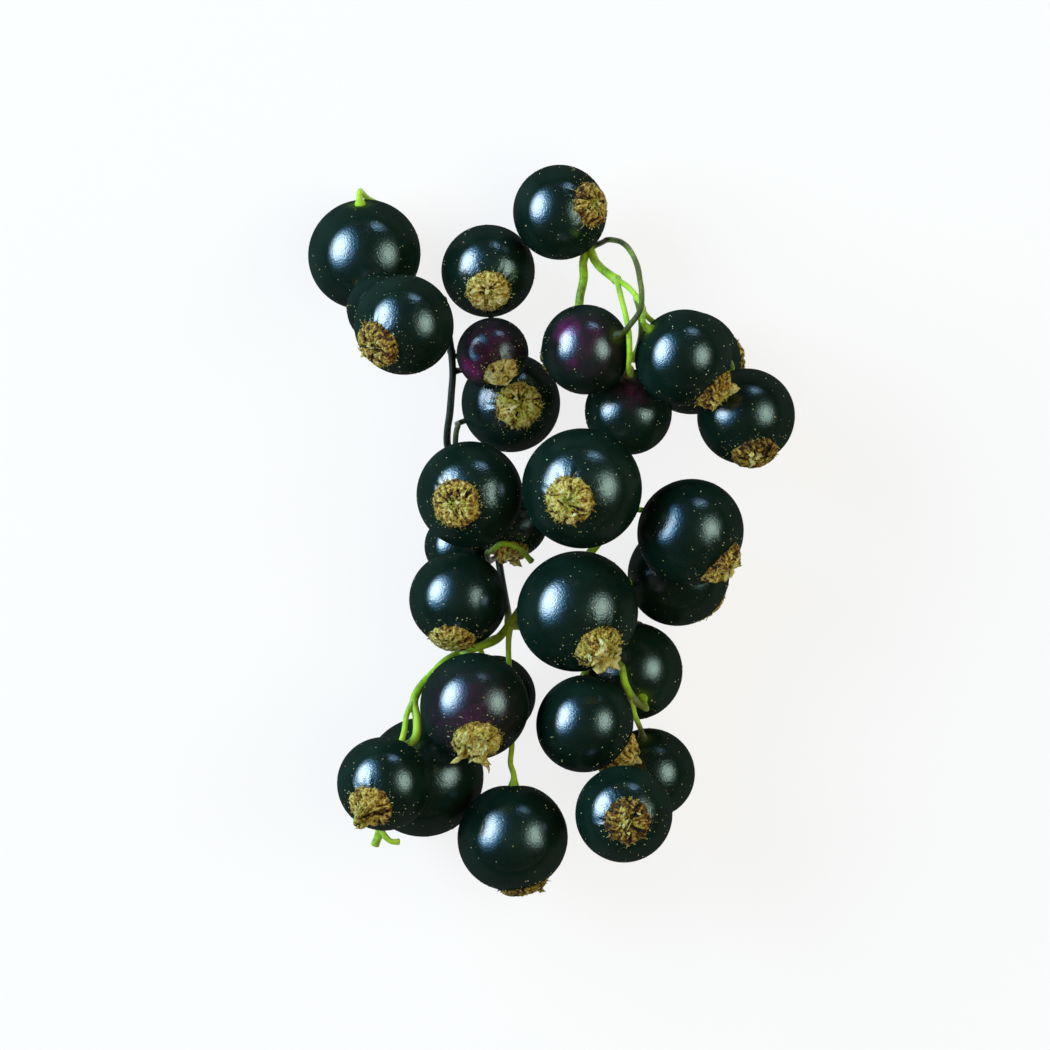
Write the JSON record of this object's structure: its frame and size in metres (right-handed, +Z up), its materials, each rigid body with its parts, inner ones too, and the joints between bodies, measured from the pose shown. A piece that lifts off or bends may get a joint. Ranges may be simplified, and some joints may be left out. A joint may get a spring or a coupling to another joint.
{
  "type": "blackcurrant sprig",
  "caption": "Picked sprig of ripe blackcurrants: waxy dark berries with dried flower ends on a branching green stem, lying on a surface.",
  "frame": {"origin": "on the surface the sprig lies on, under the middle of its box", "axes": "+Z up from the surface, +Y along the sprig towards the end that was its tip, +X to its right seen from above"},
  "size_m": [0.0536, 0.081, 0.0303],
  "materials": {
    "black_skin": "ripe blackcurrant skin, near black with a waxy gloss",
    "reddish_skin": "blackcurrant skin that still has a wine red side, waxy gloss",
    "dried_flower": "dry wrinkled flower end, papery and dull",
    "green_stem": "fresh green stem, smooth and satin"
  },
  "bodies": {
    "root": {"strig": "green_stem", "berry_01": "black_skin", "berry_02": "black_skin", "berry_03": "black_skin", "berry_04": "black_skin", "berry_05": "black_skin", "berry_06": "black_skin", "berry_07": "black_skin", "berry_08": "black_skin", "berry_09": "black_skin", "berry_10": "black_skin", "berry_11": "black_skin", "berry_12": "black_skin", "berry_13": "black_skin", "berry_14": "black_skin", "berry_15": "reddish_skin", "berry_16": "black_skin", "berry_17": "black_skin", "berry_18": "reddish_skin", "berry_19": "black_skin", "berry_20": "black_skin", "berry_21": "black_skin", "berry_22": "black_skin", "berry_23": "black_skin", "berry_24": "black_skin", "berry_25": "reddish_skin", "berry_26": "black_skin", "berry_27": "black_skin", "berry_28": "black_skin", "berry_29": "black_skin", "dried_flower_01": "dried_flower", "dried_flower_02": "dried_flower", "dried_flower_03": "dried_flower", "dried_flower_04": "dried_flower", "dried_flower_05": "dried_flower", "dried_flower_06": "dried_flower", "dried_flower_07": "dried_flower", "dried_flower_08": "dried_flower", "dried_flower_09": "dried_flower", "dried_flower_10": "dried_flower", "dried_flower_11": "dried_flower", "dried_flower_12": "dried_flower", "dried_flower_13": "dried_flower", "dried_flower_14": "dried_flower", "dried_flower_15": "dried_flower", "dried_flower_16": "dried_flower", "dried_flower_17": "dried_flower", "dried_flower_18": "dried_flower", "dried_flower_19": "dried_flower", "dried_flower_20": "dried_flower", "dried_flower_21": "dried_flower", "dried_flower_22": "dried_flower", "dried_flower_23": "dried_flower", "dried_flower_24": "dried_flower", "dried_flower_25": "dried_flower", "dried_flower_26": "dried_flower", "dried_flower_27": "dried_flower", "dried_flower_28": "dried_flower", "dried_flower_29": "dried_flower"}
  },
  "joints": []
}
